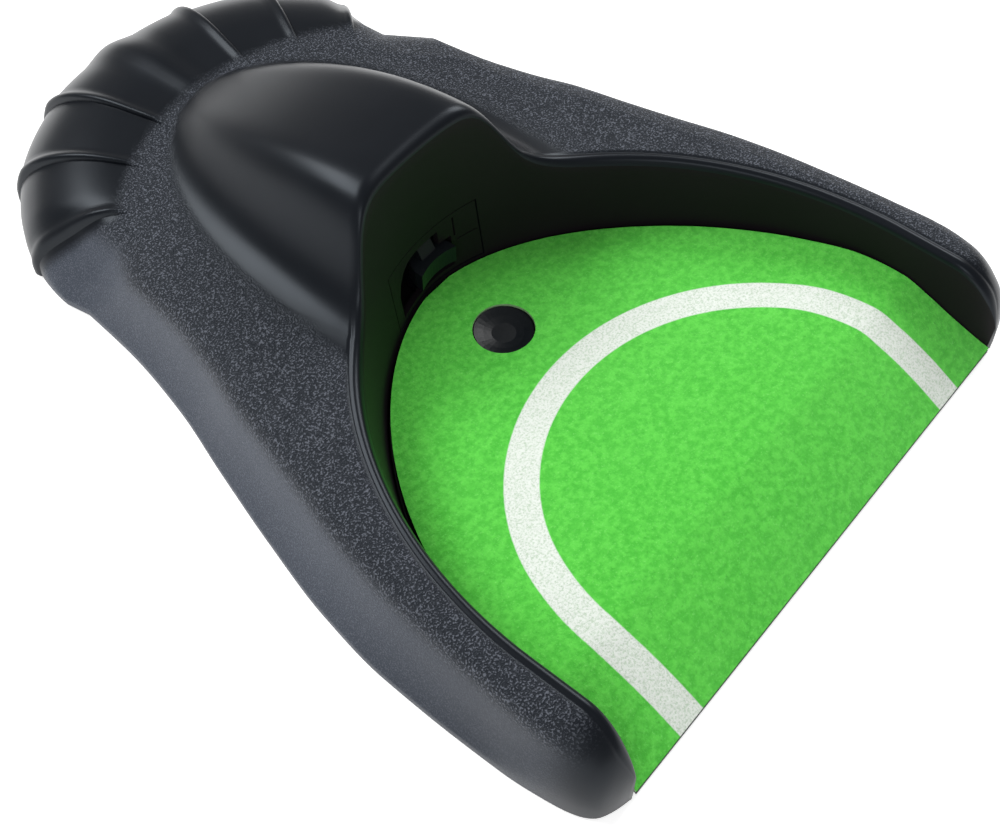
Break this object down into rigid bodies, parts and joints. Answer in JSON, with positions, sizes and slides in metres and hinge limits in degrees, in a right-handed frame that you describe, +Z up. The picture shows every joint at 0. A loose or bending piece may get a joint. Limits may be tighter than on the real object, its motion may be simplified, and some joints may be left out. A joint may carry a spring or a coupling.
{
  "type": "automatic putting cup",
  "caption": "Horseshoe-shaped ball-return putting cup: short felt ramp with a small target hole, hooded spring kicker, geared winding motor and a battery bay underneath.",
  "frame": {"origin": "on the floor, under the middle of the whole device", "axes": "+Z up, +Y from the ramp's front edge towards the tail, +X to the right when seen from the ramp"},
  "size_m": [0.226, 0.3118, 0.0675],
  "materials": {
    "housing_black": "satin black moulded plastic, pebble texture on the flat surround",
    "base_black": "matt black",
    "green_felt": "bright green felt with a printed white target line",
    "kicker_grey": "satin dark grey",
    "gear_white": "natural white acetal, satin",
    "rubber_black": "matt",
    "cell_sleeve": "glossy printed sleeve, no lettering",
    "contact_brass": "plated",
    "board_green": "solder mask",
    "capacitor_sleeve": "glossy",
    "wire_red": "smooth insulation",
    "wire_black": "smooth insulation",
    "shaft_steel": "bright",
    "screw_steel": "zinc plated"
  },
  "bodies": {
    "chassis": {"base_plate": "base_black", "battery_door": "base_black", "cam_shaft": "shaft_steel", "capacitor": "capacitor_sleeve", "case_screw_1": "screw_steel", "case_screw_2": "screw_steel", "case_screw_3": "screw_steel", "case_screw_4": "screw_steel", "case_screw_5": "screw_steel", "case_screw_6": "screw_steel", "cell_1": "cell_sleeve", "cell_2": "cell_sleeve", "cell_3": "cell_sleeve", "cell_4": "cell_sleeve", "circuit_board": "board_green", "contact_left_front": "contact_brass", "contact_left_rear": "contact_brass", "contact_link": "contact_brass", "door_screw": "screw_steel", "first_shaft": "shaft_steel", "foot_1": "rubber_black", "foot_2": "rubber_black", "foot_3": "rubber_black", "foot_4": "rubber_black", "gearbox_plate_left": "gear_white", "gearbox_plate_right": "gear_white", "gearbox_screw_1": "screw_steel", "gearbox_screw_2": "screw_steel", "gearbox_screw_3": "screw_steel", "gearbox_screw_4": "screw_steel", "gearbox_tie_front": "shaft_steel", "gearbox_tie_rear": "shaft_steel", "kicker_bezel": "housing_black", "kicker_shaft": "shaft_steel", "kicker_spring": "shaft_steel", "motor_can": "shaft_steel", "motor_end_cap": "gear_white", "motor_wire_black": "wire_black", "motor_wire_red": "wire_red", "putting_mat": "green_felt", "second_shaft": "shaft_steel", "switch_body": "base_black", "top_housing": "housing_black", "trigger_pin": "shaft_steel"},
    "trigger": {"trigger_lever": "kicker_grey", "switch_button": "gear_white"},
    "kicker": {"kicker": "kicker_grey"},
    "cam": {"snail_cam_gear": "gear_white"},
    "second_stage": {"second_gear": "gear_white"},
    "first_stage": {"first_gear": "gear_white"},
    "motor_rotor": {"motor_pinion": "gear_white"}
  },
  "joints": [
    {"name": "trigger_rock", "type": "hinge", "parent": "chassis", "child": "trigger", "pos_m": [0, 0.0158, 0.005], "axis": [1, 0, 0], "range_deg": [0, 0.93], "stiffness_Nm_per_rad": 0.6, "springref_deg": -1.15},
    {"name": "kicker_swing", "type": "hinge", "parent": "chassis", "child": "kicker", "pos_m": [0, 0.0078, 0.046], "axis": [1, 0, 0], "range_deg": [0, 20], "stiffness_Nm_per_rad": 0.08, "springref_deg": -34.38},
    {"name": "cam_turn", "type": "hinge", "parent": "chassis", "child": "cam", "pos_m": [0, 0.0358, 0.024], "axis": [1, 0, 0], "continuous": true},
    {"name": "second_gear_turn", "type": "hinge", "parent": "chassis", "child": "second_stage", "pos_m": [0, 0.05077, 0.02269], "axis": [1, 0, 0], "continuous": true},
    {"name": "first_gear_turn", "type": "hinge", "parent": "chassis", "child": "first_stage", "pos_m": [0, 0.06439, 0.02509], "axis": [1, 0, 0], "continuous": true},
    {"name": "motor_turn", "type": "hinge", "parent": "chassis", "child": "motor_rotor", "pos_m": [0, 0.074, 0.01514], "axis": [1, 0, 0], "continuous": true}
  ],
  "couplings": [
    {"joint": "second_gear_turn", "follows": "cam_turn", "ratio": -4},
    {"joint": "first_gear_turn", "follows": "cam_turn", "ratio": 14.4},
    {"joint": "motor_turn", "follows": "cam_turn", "ratio": -51.84}
  ]
}
